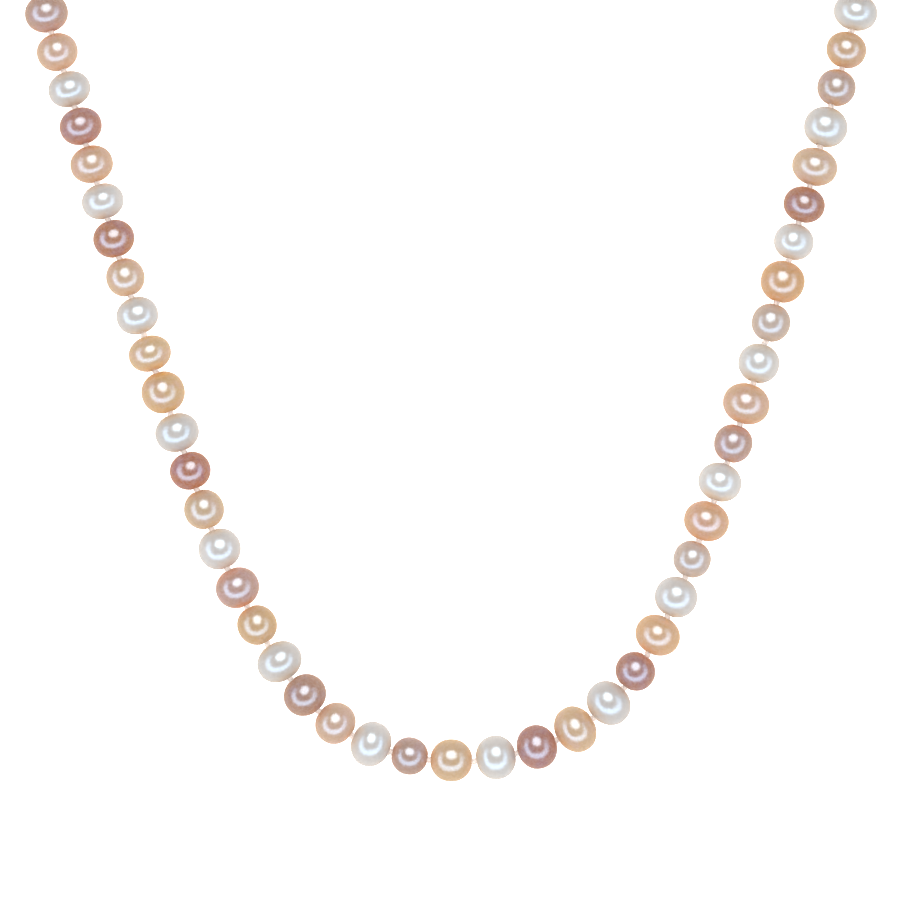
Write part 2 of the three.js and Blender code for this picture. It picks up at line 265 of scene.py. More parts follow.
# ---------------------------------------------------------------- materials
class Shader:
    """A node material with a Principled shader, and short ways to add nodes to it."""

    def __init__(self, name, **values):
        self.material = bpy.data.materials.new(name)
        self.material.use_nodes = True
        self.material.cycles.emission_sampling = "NONE"
        self.tree = self.material.node_tree
        self.shader = self.tree.nodes["Principled BSDF"]
        for key, value in values.items():
            self.shader.inputs[key.replace("_", " ")].default_value = value

    def add(self, kind, inputs=None, **settings):
        node = self.tree.nodes.new(kind)
        for key, value in settings.items():
            setattr(node, key, value)
        for key, value in (inputs or {}).items():
            self.put(node.inputs[key], value)
        return node

    def put(self, socket, value):
        if isinstance(value, bpy.types.NodeSocket):
            self.tree.links.new(value, socket)
        elif isinstance(value, (tuple, list)) and len(value) == 3 and socket.type == "RGBA":
            socket.default_value = (*value, 1.0)
        else:
            socket.default_value = value

    def attribute(self, name, output="Vector"):
        return self.add("ShaderNodeAttribute", attribute_name=name).outputs[output]

    def math(self, operation, a, b=0.0, c=0.0, clamp=False):
        node = self.add("ShaderNodeMath", operation=operation, use_clamp=clamp)
        for socket, value in zip(node.inputs, (a, b, c)):
            self.put(socket, value)
        return node.outputs[0]

    def smooth(self, value, low, high, to_low=0.0, to_high=1.0):
        return self.add("ShaderNodeMapRange", {
            "Value": value, "From Min": low, "From Max": high, "To Min": to_low,
            "To Max": to_high}, interpolation_type="SMOOTHSTEP").outputs[0]

    def noise(self, vector, scale, detail=2.0, rough=0.5):
        return self.add("ShaderNodeTexNoise", {
            "Vector": vector, "Scale": scale, "Detail": detail, "Roughness": rough}
        ).outputs["Fac"]

    def mix(self, factor, a, b, blend="MIX"):
        node = self.add("ShaderNodeMix", data_type="RGBA", blend_type=blend)
        self.put(node.inputs[0], factor)
        self.put(node.inputs[6], a)
        self.put(node.inputs[7], b)
        return node.outputs[2]

    def moved(self, vector, by, operation):
        """A vector with another added to it or multiplied into it."""
        return self.add("ShaderNodeVectorMath", {0: vector, 1: by},
                        operation=operation).outputs[0]

    def bump(self, height, distance_mm, strength):
        return self.add("ShaderNodeBump", {
            "Height": height, "Distance": distance_mm * MM, "Strength": strength}).outputs[0]

    def to(self, **inputs):
        for key, value in inputs.items():
            self.put(self.shader.inputs[key.replace("_", " ")], value)
        return self.material


def srgb(r, g, b):
    """Linear colour from screen values of 0 to 255."""
    return tuple(((v / 255 + 0.055) / 1.055) ** 2.4 for v in (r, g, b))


# Each class of pearl: its slot, its body colour round the middle, its colour at the drill
# holes, and the overtone that drifts over it.
PEARLS = {
    "w": ("white_pearl", srgb(215, 208, 202), srgb(222, 203, 180), srgb(211, 209, 208)),
    "p": ("peach_pearl", srgb(211, 172, 130), srgb(228, 170, 114), srgb(213, 170, 144)),
    "g": ("golden_pearl", srgb(214, 170, 108), srgb(232, 171, 104), srgb(213, 173, 128)),
    "r": ("rose_pearl", srgb(186, 149, 128), srgb(212, 148, 108), srgb(190, 154, 148)),
    "s": ("blush_pearl", srgb(202, 175, 154), srgb(216, 174, 140), srgb(199, 177, 168)),
    "m": ("mauve_pearl", srgb(178, 115, 84), srgb(188, 115, 80), srgb(170, 117, 120)),
}


# Nacre. Noise scales are for millimetres, and heights and the growth pitch are in millimetres.
DRIFT_SCALE = 0.32
PATCH_SCALE = 0.45
PATCH_APART = (31.0, 7.0, 13.0)
CLOUD_SCALE = 2.6
CLOUD_COLOUR = (1.0, 0.97, 0.94)
GRAIN_SCALE = 9.0
PIT_CELLS = 0.42
PIT_RARITY = 0.62
GROWTH_PITCH = 0.42
GROWTH_HEIGHT = 0.0010
GRAIN_HEIGHT = 0.0006
CLOUD_HEIGHT = 0.004
PIT_DEPTH = 0.008
GLOSS = (0.22, 0.265)
TONE_HUE, TONE_SATURATION, TONE_VALUE = 0.010, 0.13, 0.05


def pearl_material(name, body, pole, overtone):
    """Body colour, warmer towards the holes, under drifting overtones, pale clouds and a few
    pits, with growth lines round the ends. The attribute tone shifts each pearl's colour."""
    sh = Shader(name, Roughness=0.24, IOR=1.7, Metallic=0.0, Specular_IOR_Level=0.95,
                Specular_Tint=(0.64, 0.85, 1.0, 1.0),
                Coat_Weight=0.08, Coat_Roughness=0.12, Coat_IOR=1.5,
                Sheen_Weight=0.3, Sheen_Roughness=0.4, Sheen_Tint=(1.0, 0.70, 0.40, 1.0))
    own = sh.attribute("own")
    polar = sh.attribute("polar", "Fac")
    tone = sh.add("ShaderNodeSeparateXYZ", {"Vector": sh.attribute("tone")})
    to_pole = sh.math("ABSOLUTE", polar)
    drift = sh.noise(own, DRIFT_SCALE, 2.0, 0.55)
    reach = sh.math("ADD", to_pole, sh.math("MULTIPLY_ADD", drift, 0.5, -0.25))
    colour = sh.mix(sh.smooth(reach, 0.42, 1.0), body, pole)
    patches = sh.noise(sh.moved(own, PATCH_APART, "ADD"), PATCH_SCALE, 2.0, 0.5)
    colour = sh.mix(sh.smooth(patches, 0.42, 0.68, 0.0, 0.75), colour, overtone)
    clouds = sh.noise(own, CLOUD_SCALE, 3.0, 0.6)
    colour = sh.mix(sh.smooth(clouds, 0.3, 0.7, 0.0, 0.10), colour, CLOUD_COLOUR)
    cells = sh.add("ShaderNodeTexVoronoi", {
        "Vector": own, "Scale": PIT_CELLS, "Randomness": 1.0})
    chosen = sh.math("GREATER_THAN", sh.add("ShaderNodeSeparateColor", {
        "Color": cells.outputs["Color"]}).outputs[0], PIT_RARITY)
    pit = sh.math("MULTIPLY", chosen, sh.smooth(cells.outputs["Distance"], 0.022, 0.05, 1.0, 0.0))
    colour = sh.mix(sh.math("MULTIPLY", pit, 0.22), colour, pole)
    hsv = sh.add("ShaderNodeHueSaturation", {
        "Color": colour,
        "Hue": sh.math("MULTIPLY_ADD", tone.outputs[0], TONE_HUE, 0.5),
        "Saturation": sh.math("MULTIPLY_ADD", tone.outputs[1], TONE_SATURATION, 1.0),
        "Value": sh.math("MULTIPLY_ADD", tone.outputs[2], TONE_VALUE, 1.0)})
    axial = sh.add("ShaderNodeSeparateXYZ", {"Vector": own}).outputs[0]
    wobble = sh.math("MULTIPLY_ADD", patches, 2.2, axial)
    growth = sh.math("SINE", sh.math("MULTIPLY", wobble, TAU / GROWTH_PITCH))
    near_pole = sh.smooth(to_pole, 0.45, 0.9)
    grain = sh.noise(own, GRAIN_SCALE, 2.0, 0.6)
    height = sh.math("MULTIPLY", sh.math("MULTIPLY", growth, near_pole), GROWTH_HEIGHT)
    height = sh.math("MULTIPLY_ADD", grain, GRAIN_HEIGHT, height)
    height = sh.math("MULTIPLY_ADD", clouds, CLOUD_HEIGHT, height)
    height = sh.math("MULTIPLY_ADD", pit, -PIT_DEPTH, height)
    return sh.to(Base_Color=hsv.outputs[0],
                 Roughness=sh.smooth(clouds, 0.25, 0.75, *GLOSS),
                 Normal=sh.bump(height, 1.0, 0.8))


# Silk: one filament groove every FILAMENT_PITCH mm along, and FILAMENTS of them round a ply.
FILAMENT_PITCH = 0.42
FILAMENTS = 3.0
FLUFF_SCALE = 6.0
SILK_RELIEF = 0.02


def silk_material():
    """Twisted filaments with fluff, with painted shade in the grooves and painted light on the
    crests. A small glow stands in for light scattered in the thread.
    """
    sh = Shader("silk_thread", Roughness=0.62, Sheen_Weight=0.35, Sheen_Roughness=0.4,
                Specular_IOR_Level=0.35, Emission_Strength=0.25,
                Emission_Color=(1.0, 0.93, 0.88, 1.0))
    own = sh.attribute("own")
    parts = sh.add("ShaderNodeSeparateXYZ", {"Vector": own})
    twist = sh.math("ADD", sh.math("MULTIPLY", parts.outputs[0], 1 / FILAMENT_PITCH),
                    sh.math("MULTIPLY", parts.outputs[1], FILAMENTS))
    strands = sh.math("MULTIPLY_ADD", sh.math("SINE", sh.math("MULTIPLY", twist, TAU)), 0.5, 0.5)
    fluff = sh.noise(own, FLUFF_SCALE, 3.0, 0.65)
    # The colour follows the filament relief: darker in the grooves and lighter on the crests, as
    # painted shade and painted light.
    colour = sh.mix(strands, srgb(238, 224, 216), srgb(254, 249, 245))
    colour = sh.mix(sh.smooth(fluff, 0.3, 0.75, 0.0, 0.5), colour, srgb(248, 236, 229))
    height = sh.math("MULTIPLY_ADD", fluff, 0.35, strands)
    return sh.to(Base_Color=colour, Roughness=sh.smooth(fluff, 0.3, 0.7, 0.52, 0.72),
                 Normal=sh.bump(height, SILK_RELIEF, 0.9))


BRUSHING = (0.5, 9.0, 9.0)
SCRATCHING = (14.0, 1.2, 3.0)
GILT_RELIEF = 0.004


def gilt_material(name, brushed):
    """Gilt metal, brushed along x or plain, with smears and a few fine scratches."""
    sh = Shader(name, Metallic=1.0, Roughness=0.2, Coat_Weight=0.15, Coat_Roughness=0.05)
    own = sh.attribute("own")
    lines = sh.noise(sh.moved(own, BRUSHING, "MULTIPLY") if brushed else own, 2.2, 3.0, 0.6)
    smears = sh.noise(own, 0.7, 2.0, 0.5)
    scratches = sh.noise(sh.moved(own, SCRATCHING, "MULTIPLY"), 1.4, 2.0, 0.5)
    colour = sh.mix(sh.smooth(smears, 0.3, 0.7), srgb(236, 186, 108), srgb(244, 202, 134))
    colour = sh.mix(sh.smooth(scratches, 0.62, 0.7, 0.0, 0.25), colour, srgb(250, 226, 176))
    rough = sh.math("MULTIPLY_ADD", smears, 0.12, 0.12)
    rough = sh.math("MULTIPLY_ADD", lines, 0.10, rough)
    height = sh.math("MULTIPLY_ADD", scratches, 0.3, lines)
    return sh.to(Base_Color=colour, Roughness=rough, Normal=sh.bump(height, GILT_RELIEF, 0.35))


PEARL_LOOKS = {}
for letter, (slot_name, body, pole, overtone) in PEARLS.items():
    PEARL_LOOKS[letter] = pearl_material(slot_name, body, pole, overtone)
SILK = silk_material()
GILT = gilt_material("gilt", True)
GILT_WIRE = gilt_material("gilt_wire", False)

# ---------------------------------------------------------------- pearls
# Swells are (waves round the pearl, largest share of its radius). Each pearl reads the noise
# textures at its own place in a field this many millimetres wide either way.
SIDES = 56
OUTSIDE = 34
FLATTER = 0.94
MOUTH = 0.84
SWELLS = ((1, 0.006), (2, 0.013), (3, 0.008), (4, 0.0045))
TAPER = 0.012
RIPPLE = (0.001, 0.003)
NOISE_FIELD = 200
# The dished mouth and the start of the bore: radius, and depth below the rim.
HOLE = [(0.80, 0.02), (0.74, 0.07), (0.64, 0.17), (0.52, 0.29), (0.44, 0.40), (0.40, 0.55)]


def pearl_points(pearl):
    """A drilled pearl: an oval of revolution about the cord, gently out of round, with dished
    mouths. It comes as rings from the near hole over the outside and back along the bore."""
    half_length, half_width = pearl["length"] / 2, pearl["width"] / 2
    lip = math.acos(MOUTH / half_width)
    t = np.linspace(-lip, lip, OUTSIDE)
    offset = half_length * np.sign(t) * np.abs(np.sin(t)) ** FLATTER
    radius = half_width * np.cos(t)
    rim = offset[-1]
    mouth = [(rim - depth, r) for r, depth in HOLE]
    offset = np.concatenate([[-o for o, _ in mouth[::-1]], offset, [o for o, _ in mouth]])
    radius = np.concatenate([[r for _, r in mouth[::-1]], radius, [r for _, r in mouth]])
    outside = np.zeros(len(offset))
    outside[len(mouth):-len(mouth)] = np.cos(t) ** 0.5
    turn = TAU * np.arange(SIDES) / SIDES
    polar = np.clip(offset / half_length, -1, 1)
    swell = np.zeros((len(offset), SIDES))
    for waves, share in SWELLS:
        size = share * rng.uniform(0.4, 1.0)
        lean = rng.uniform(-1.2, 1.2)
        swell += size * np.cos(waves * turn[None] + rng.uniform(0, TAU) + lean * polar[:, None])
    swell += rng.uniform(-TAPER, TAPER) * polar[:, None]
    swell += rng.uniform(*RIPPLE) * np.sin(polar[:, None] * rng.uniform(4, 8)
                                           + rng.uniform(0, TAU))
    r = radius[:, None] * (1 + swell * outside[:, None])
    local = np.stack([np.broadcast_to(offset[:, None], r.shape),
                      r * np.cos(turn)[None], r * np.sin(turn)[None]], -1).reshape(-1, 3)
    return local, len(offset), np.repeat(polar, SIDES)


def place(local, at, along):
    """Points drawn along x, put at a place of the strand with x along it."""
    across, over = frame_of(along)
    return at + local[:, :1] * along + local[:, 1:2] * over + local[:, 2:] * across


pearl_set = bpy.data.collections.new("pearl_set")
for side, strand in STRANDS.items():
    for pearl in strand["pearls"]:
        local, rings, polar = pearl_points(pearl)
        points = place(local, pearl["centre"], pearl["along"])
        drift = rng.uniform(-NOISE_FIELD, NOISE_FIELD, 3)
        tone = rng.uniform(-1, 1, 3)
        faces = [f[::-1] for f in ring_faces(rings, SIDES, True)]
        piece = make_object(
            "nacre_" + pearl["name"], points + SHIFT, faces, PEARL_LOOKS[pearl["colour"]],
            own=local + drift, polar=polar, tone=np.tile(tone, (len(local), 1)))
        pearl_set.objects.link(piece)
        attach(piece, pearl["run"])
        if pearl["run"].startswith("back"):
            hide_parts("back_run_" + side)
        else:
            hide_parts("pearl_" + pearl["name"])

# ---------------------------------------------------------------- silk and knots
# LOOP_TIE: how far past the end knot, and how much lower, the cord is tied to its loop.
PLY_OFFSET = 0.115
PLY_RADIUS = 0.12
PLY_PITCH = 1.15
CORD_STEP = 0.17
KNOT_STEPS = 54
KNOT_TUBE = 0.155
KNOT_LONG = 0.30
KNOT_REACH = 0.285
KNOT_WAVE = 0.145
KNOT_SPREAD = (0.9, 1.05)
CORD_RESTART = 0.3
LOOP_TIE = (0.25, -0.15)


def add_cord(parts, corners):
    """A cord of two plies through the corners, one turn every PLY_PITCH."""
    corners = np.asarray(corners)
    spans = np.linalg.norm(np.diff(corners, axis=0), axis=1)
    reach = np.concatenate([[0], np.cumsum(spans)])
    s = np.linspace(0, reach[-1], max(6, int(reach[-1] / CORD_STEP)))
    middle = np.stack([np.interp(s, reach, corners[:, k]) for k in range(3)], -1)
    tangent = np.gradient(middle, axis=0)
    tangent /= np.linalg.norm(tangent, axis=1)[:, None]
    across = np.cross(UP, tangent)
    across /= np.linalg.norm(across, axis=1)[:, None]
    over = np.cross(tangent, across)
    for ply in (0.0, 0.5):
        angle = (TAU * (s / PLY_PITCH + ply))[:, None]
        path = middle + PLY_OFFSET * (np.cos(angle) * over + np.sin(angle) * across)
        parts.add(*tube(path, PLY_RADIUS, 6))


def add_knot(parts, at, along):
    """A small tight overhand knot: one thread round and through itself."""
    t = TAU * np.arange(KNOT_STEPS) / KNOT_STEPS
    wide = rng.uniform(*KNOT_SPREAD)
    reach = KNOT_REACH * wide + KNOT_WAVE * np.cos(3 * t)
    roll = rng.uniform(0, TAU)
    local = np.stack([KNOT_LONG * np.sin(3 * t), reach * np.cos(2 * t + roll),
                      reach * np.sin(2 * t + roll)], -1)
    parts.add(*tube(place(local, at, along), KNOT_TUBE, 7, closed=True))


for side, strand in STRANDS.items():
    pearls, knots = strand["pearls"], strand["knots"]
    for run in RUNS[side]:
        members = [i for i, p in enumerate(pearls) if p["run"] == run]
        first, last = members[0], members[-1]
        parts = Parts()
        holds_first = run == "front_right"
        start = knots[first] + (0 if holds_first else CORD_RESTART) * pearls[first]["along"]
        corners = [start] + [knots[i + 1] for i in members]
        is_back = run.startswith("back")
        if is_back:
            inward = 1 if side == "left" else -1
            past, drop = LOOP_TIE
            corners.append(knots[-1] + np.array([inward * (KNOT_HALF_LENGTH + past), 0, drop]))
        add_cord(parts, corners)
        if holds_first:
            add_knot(parts, knots[first], pearls[first]["along"])
        for i in members:
            after = pearls[i + 1]["along"] if i + 1 < len(pearls) else pearls[i]["along"]
            add_knot(parts, knots[i + 1], unit(pearls[i]["along"] + after))
        piece = parts.object("knotted_silk_" + run, SILK)
        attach(piece, run)
        part, _, _ = run.partition("_")
        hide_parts("back_run_" + side if is_back else f"silk_{part}_{side}")

# ---------------------------------------------------------------- the clasp
# Bodies are drawn in millimetres about the middle of the box, the mouth towards -x.
ROUNDING = 5
FLUTES = 34
FLUTE_POINTS = 10
FLUTE_DEPTH = 0.10
FLUTED = 3.0
BEAD = 3.3
BEAD_HALF = 0.16
BEAD_SUNK = 0.10
BEAD_RISE = 0.12
GROOVE_NEAR, GROOVE_FAR = 0.22, 0.24
FLUTE_INSET = 0.03
END_ROUND = 0.35
MOUTH_BEVEL = 0.06
GRIP_BARS = (0.62, 0.84, 1.06)
GRIP_RADIUS = 0.07
COIL_WIRE = 0.055
COIL_RADIUS = LOOP["wire"] - COIL_WIRE
COIL_PITCH = 0.125
COIL_POINTS = 12
SHARP_EDGE = 38


def rounded(corners):
    """An outline with softened corners, from (x, y, how much) corners."""
    corners = np.asarray(corners, float)
    outline = []
    for i, (x, y, soft) in enumerate(corners):
        at = np.array([x, y])
        start = at + unit(corners[i - 1][:2] - at) * soft
        end = at + unit(corners[(i + 1) % len(corners)][:2] - at) * soft
        for s in np.linspace(0, 1, ROUNDING + 1):
            outline.append((1 - s) ** 2 * start + 2 * s * (1 - s) * at + s * s * end)
    return np.array(outline)


def plate(corners, low, high, edge):
    """A flat body with rounded edges. Its corners run anticlockwise seen from above."""
    outline = rounded(corners)
    ahead = np.roll(outline, -1, 0) - outline
    side = np.stack([ahead[:, 1], -ahead[:, 0]], -1) / np.linalg.norm(ahead, axis=1)[:, None]
    out = side + np.roll(side, 1, 0)
    out /= np.linalg.norm(out, axis=1)[:, None]
    out /= (out * side).sum(1)[:, None]
    turn = np.linspace(0, math.pi / 2, ROUNDING)
    levels = ([(low + edge * (1 - math.sin(a)), edge * (1 - math.cos(a))) for a in turn[::-1]]
              + [(high - edge * (1 - math.sin(a)), edge * (1 - math.cos(a))) for a in turn])
    points = np.concatenate([np.column_stack([outline - out * inset, np.full(len(outline), z)])
                             for z, inset in levels])
    count = len(outline)
    faces = ring_faces(len(levels), count, False)
    faces.append(tuple(range(count))[::-1])
    faces.append(tuple(range((len(levels) - 1) * count, len(levels) * count)))
    return points, faces


def box_corners(x0, x1, width, soft):
    """The corners of a rectangle that lies evenly about the strand, for plate."""
    half = width / 2
    return [(x0, -half, soft), (x1, -half, soft), (x1, half, soft), (x0, half, soft)]


def upright_ring(x):
    """The ring that a loop is tied to, standing on edge along the strand."""
    turn = TAU * np.arange(56) / 56
    path = np.stack([x + RING["radius"] * np.cos(turn), 0 * turn,
                     RING["radius"] * np.sin(turn)], -1)
    points, faces, _ = tube(path, RING["wire"], 18, closed=True)
    return points, faces


def cross_rod(x, z, half_width, radius):
    """A rod across the strand with rounded ends."""
    turn = np.linspace(0.15, math.pi / 2, 6)
    ends = np.stack([half_width - radius * (1 - np.sin(math.pi / 2 - turn)),
                     radius * np.sin(turn)], -1)
    profile = np.concatenate([ends * (-1, 1), ends[::-1]])
    sides = 14
    a = TAU * np.arange(sides) / sides
    points = np.concatenate([np.stack([x + r * np.sin(a), np.full(sides, y), z + r * np.cos(a)], -1)
                             for y, r in profile])
    faces = ring_faces(len(profile), sides, False)
    faces.append(tuple(range(sides))[::-1])
    faces.append(tuple(range((len(profile) - 1) * sides, len(profile) * sides)))
    return points, faces


def reach_of(way, half_y, half_z, corner):
    """How far the side of a rounded rectangle is from its middle, in each direction."""
    near, far = np.zeros(len(way)), np.full(len(way), 2 * (half_y + half_z))
    straight = np.array([half_y - corner, half_z - corner])
    for _ in range(HALVINGS):
        middle = (near + far) / 2
        beyond = np.abs(way * middle[:, None]) - straight
        inside = (np.linalg.norm(np.maximum(beyond, 0), axis=1)
                  + np.minimum(beyond.max(1), 0)) < corner
        near, far = np.where(inside, middle, near), np.where(inside, far, middle)
    return near


def heading(angle):
    """Directions across the strand from their angles: level, then up."""
    return np.stack([np.cos(angle), np.sin(angle)], -1)


def box_shell():
    """The hollow, fluted box with the slot and notch of its mouth, as one surface."""
    half_x, half_y, half_z = BOX["length"] / 2, BOX["width"] / 2, BOX["height"] / 2
    wall, corner = BOX["wall"], BOX["corner"]

    dense = np.linspace(0, TAU, 4001)
    outline = heading(dense) * reach_of(heading(dense), half_y, half_z, corner)[:, None]
    along = np.concatenate([[0], np.cumsum(np.linalg.norm(np.diff(outline, axis=0), axis=1))])
    along /= along[-1]
    evenly = np.interp(np.arange(FLUTES * FLUTE_POINTS) / (FLUTES * FLUTE_POINTS), along, dense)
    slot_y, slot_z = SLOT["width"] / 2, SLOT["height"] / 2
    notch_y, top = NOTCH["width"] / 2, NOTCH["top"]
    mouth_corners = [math.atan2(z, y) % TAU for y, z in (
        (slot_y, slot_z), (notch_y, slot_z), (notch_y, top), (-notch_y, top), (-notch_y, slot_z),
        (-slot_y, slot_z), (-slot_y, -slot_z), (slot_y, -slot_z))]
    angle = np.unique(np.concatenate([evenly, mouth_corners]))
    way = heading(angle)
    flute = np.abs(np.sin(math.pi * FLUTES * np.interp(angle, dense, along)))

    def mouth(bigger):
        """The outline of the slot and its notch, widened all round."""
        slot = np.min((np.array([slot_y, slot_z]) + bigger) / np.maximum(np.abs(way), 1e-9),
                      axis=1)
        high = np.where(way[:, 1] > 0, top, slot_z) + bigger
        notch = np.minimum((notch_y + bigger) / np.maximum(np.abs(way[:, 0]), 1e-9),
                           high / np.maximum(np.abs(way[:, 1]), 1e-9))
        return np.maximum(slot, notch)

    def outside(inset):
        """The outline of the box, drawn in all round."""
        return reach_of(way, half_y - inset, half_z - inset, corner - inset)

    inner_x = half_x - wall
    rings = [(inner_x, outside(wall) * share) for share in (0.02, 0.5, 0.97)]
    rings += [(x, outside(wall)) for x in (inner_x, 0.0, -inner_x)]
    rings += [(-inner_x, mouth(0.0)), (-half_x + MOUTH_BEVEL, mouth(0.0)),
              (-half_x, mouth(MOUTH_BEVEL))]
    ends = [(END_ROUND * (1 - math.cos(a)), END_ROUND * (1 - math.sin(a)))
            for a in np.linspace(0, math.pi / 2, 7)]
    rings += [(-half_x + step, outside(inset)) for step, inset in ends]

    bead = [(BEAD_HALF * math.cos(a), BEAD_SUNK - BEAD_RISE * math.sin(a))
            for a in np.linspace(0, math.pi, 9)]
    border = [(BEAD + GROOVE_FAR, 0.0), (BEAD + GROOVE_NEAR, BEAD_SUNK)]
    border += [(BEAD + x, d) for x, d in bead]
    border += [(BEAD - GROOVE_NEAR, BEAD_SUNK), (BEAD - GROOVE_FAR, FLUTE_INSET)]
    fluting = [(x, FLUTE_INSET + FLUTE_DEPTH * flute * math.sqrt(max(0.0, 1 - (x / FLUTED) ** 12)))
               for x in FLUTED * np.sin(np.linspace(-math.pi / 2, math.pi / 2, 25))]
    full = outside(0.0)
    side = ([(-x, full - d) for x, d in border] + [(x, full - d) for x, d in fluting]
            + [(x, full - d) for x, d in border[::-1]])
    rings += side
    rings += [(half_x - step, outside(inset)) for step, inset in ends[::-1]]
    rings += [(half_x, outside(END_ROUND) * share) for share in (0.97, 0.5, 0.02)]

    points = np.concatenate([np.column_stack([np.full(len(way), x), way * reach[:, None]])
                             for x, reach in rings])
    count = len(way)
    faces = ring_faces(len(rings), count, False)
    faces.append(tuple(range(count))[::-1])
    faces.append(tuple(range((len(rings) - 1) * count, len(rings) * count)))
    return points, faces


def raised(points):
    """Tips the spring leaf up about its root."""
    a = math.radians(LEAF["rise"])
    x, y, z = np.asarray(points).T
    return np.stack([LEAF["x"] + x * math.cos(a) + z * math.sin(a), y,
                     LEAF["z"] - x * math.sin(a) + z * math.cos(a)], -1)


def clasp_piece(name, bodies, material, node, body):
    """One piece of the clasp from its bodies, for a CAD node of a moving body."""
    parts = Parts()
    for points, faces in bodies:
        parts.add(points + CLASP, faces, points)
    piece = parts.object(name, material)
    piece.data.set_sharp_from_angle(angle=math.radians(SHARP_EDGE))
    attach(piece, body)
    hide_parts(node)


box_end = BOX["length"] / 2
ring_at_box = box_end + RING["radius"]
ring_at_tongue = TONGUE["outer"] - RING["radius"]
clasp_piece("fluted_box", [box_shell(), upright_ring(ring_at_box)], GILT, "clasp_box",
            "back_right")

tongue_top = TONGUE["low"] + TONGUE["thickness"]
nose, outer = 0.45, 0.5
tongue_half = TONGUE["width"] / 2
tongue_plate = plate(
    [(TONGUE["outer"], -tongue_half, outer), (TONGUE["deep"], -tongue_half, nose),
     (TONGUE["deep"], tongue_half, nose), (TONGUE["outer"], tongue_half, outer)],
    TONGUE["low"], tongue_top, 0.1)
tongue_web = plate(box_corners(TONGUE["outer"], -box_end - 0.3, TONGUE["web"], 0.2),
                   tongue_top - 0.1, TONGUE["web_top"], 0.08)
clasp_piece("tongue_plate", [tongue_plate, tongue_web, upright_ring(ring_at_tongue)], GILT,
            "clasp_tongue", "back_left")

half = LEAF["thickness"] / 2
leaf_half, neck, pad = LEAF["width"] / 2, PRESS["neck"] / 2, PRESS["width"] / 2
leaf = plate([(0.0, -leaf_half, 0.15), (0.0, leaf_half, 0.15), (-LEAF["length"], leaf_half, 0.12),
              (-LEAF["length"], neck, 0.12), (-PRESS["to"], neck, 0.25),
              (-PRESS["to"], pad, 0.3), (-PRESS["end"], pad, 0.4), (-PRESS["end"], -pad, 0.4),
              (-PRESS["to"], -pad, 0.3), (-PRESS["to"], -neck, 0.25),
              (-LEAF["length"], -neck, 0.12), (-LEAF["length"], -leaf_half, 0.12)],
             -half, half, 0.09)
lip = plate(box_corners(-PRESS["end"], -PRESS["end"] + 0.4, PRESS["width"], 0.19), 0.0,
            half + PRESS["lip"], 0.12)
grips = [cross_rod(-PRESS["end"] + x, half, pad - 0.35, GRIP_RADIUS) for x in GRIP_BARS]
root = cross_rod(0.0, 0.0, leaf_half, LEAF["root"])
clasp_piece("spring_leaf", [(raised(points), faces) for points, faces in
                            (leaf, lip, root, *grips)], GILT, "clasp_spring", "clasp_spring")


def covered_loop(x0, x1):
    """Fine coiled wire over the silk, round a long loop lying flat."""
    bend = LOOP["width"] / 2
    straight = abs(x1 - x0) - 2 * bend
    length = 2 * straight + TAU * bend
    coils = round(length / COIL_PITCH)
    s = np.arange(coils * COIL_POINTS) / (coils * COIL_POINTS) * length
    middle = (x0 + x1) / 2
    points = []
    for d in s:
        lap, d = divmod(d, length / 2)
        if d < straight:
            x, y = d - straight / 2, -bend
            way = (1.0, 0.0)
        else:
            a = (d - straight) / bend - math.pi / 2
            x, y = straight / 2 + bend * math.cos(a), bend * math.sin(a)
            way = (-math.sin(a), math.cos(a))
        flip = -1 if lap else 1
        points.append((middle + flip * x, flip * y, flip * way[0], flip * way[1]))
    x, y, way_x, way_y = np.array(points).T
    turn = TAU * coils * s / length
    path = np.stack([x + COIL_RADIUS * np.cos(turn) * way_y, y - COIL_RADIUS * np.cos(turn) * way_x,
                     COIL_RADIUS * np.sin(turn)], -1)
    points, faces, _ = tube(path, COIL_WIRE, 6, closed=True)
    return points, faces


in_ring = RING["radius"] - RING["wire"] - LOOP["wire"] - LOOP["slack"]
by_knot = KNOT_HALF_LENGTH + LOOP["wire"] + LOOP["slack"]
clasp_piece("coiled_loop_right", [covered_loop(
    ring_at_box + in_ring, last_right[0] - CLASP[0] - by_knot)], GILT_WIRE, "loop_right",
    "back_right")
clasp_piece("coiled_loop_left", [covered_loop(
    last_left[0] - CLASP[0] + by_knot, ring_at_tongue - in_ring)], GILT_WIRE, "loop_left",
    "back_left")

# ---------------------------------------------------------------- floor, light and camera
FLOOR_RADIUS = 6.0
WALL_RADIUS = 5.9
WALL_HIGH = 6.0
ROUND_COUNT = 64
AIM_Y = -0.03
LAMP_DISTANCE = 1.1


def round_outline(radius):
    turn = [TAU * k / ROUND_COUNT for k in range(ROUND_COUNT)]
    return [(radius * math.cos(a), radius * math.sin(a)) for a in turn]


def stage_piece(name, points, faces, material):
    """A part of the studio: not a piece of the necklace."""
    mesh = bpy.data.meshes.new(name)
    mesh.from_pydata(points, [], faces)
    mesh.materials.append(material)
    piece = bpy.data.objects.new(name, mesh)
    bpy.context.scene.collection.objects.link(piece)
    return piece


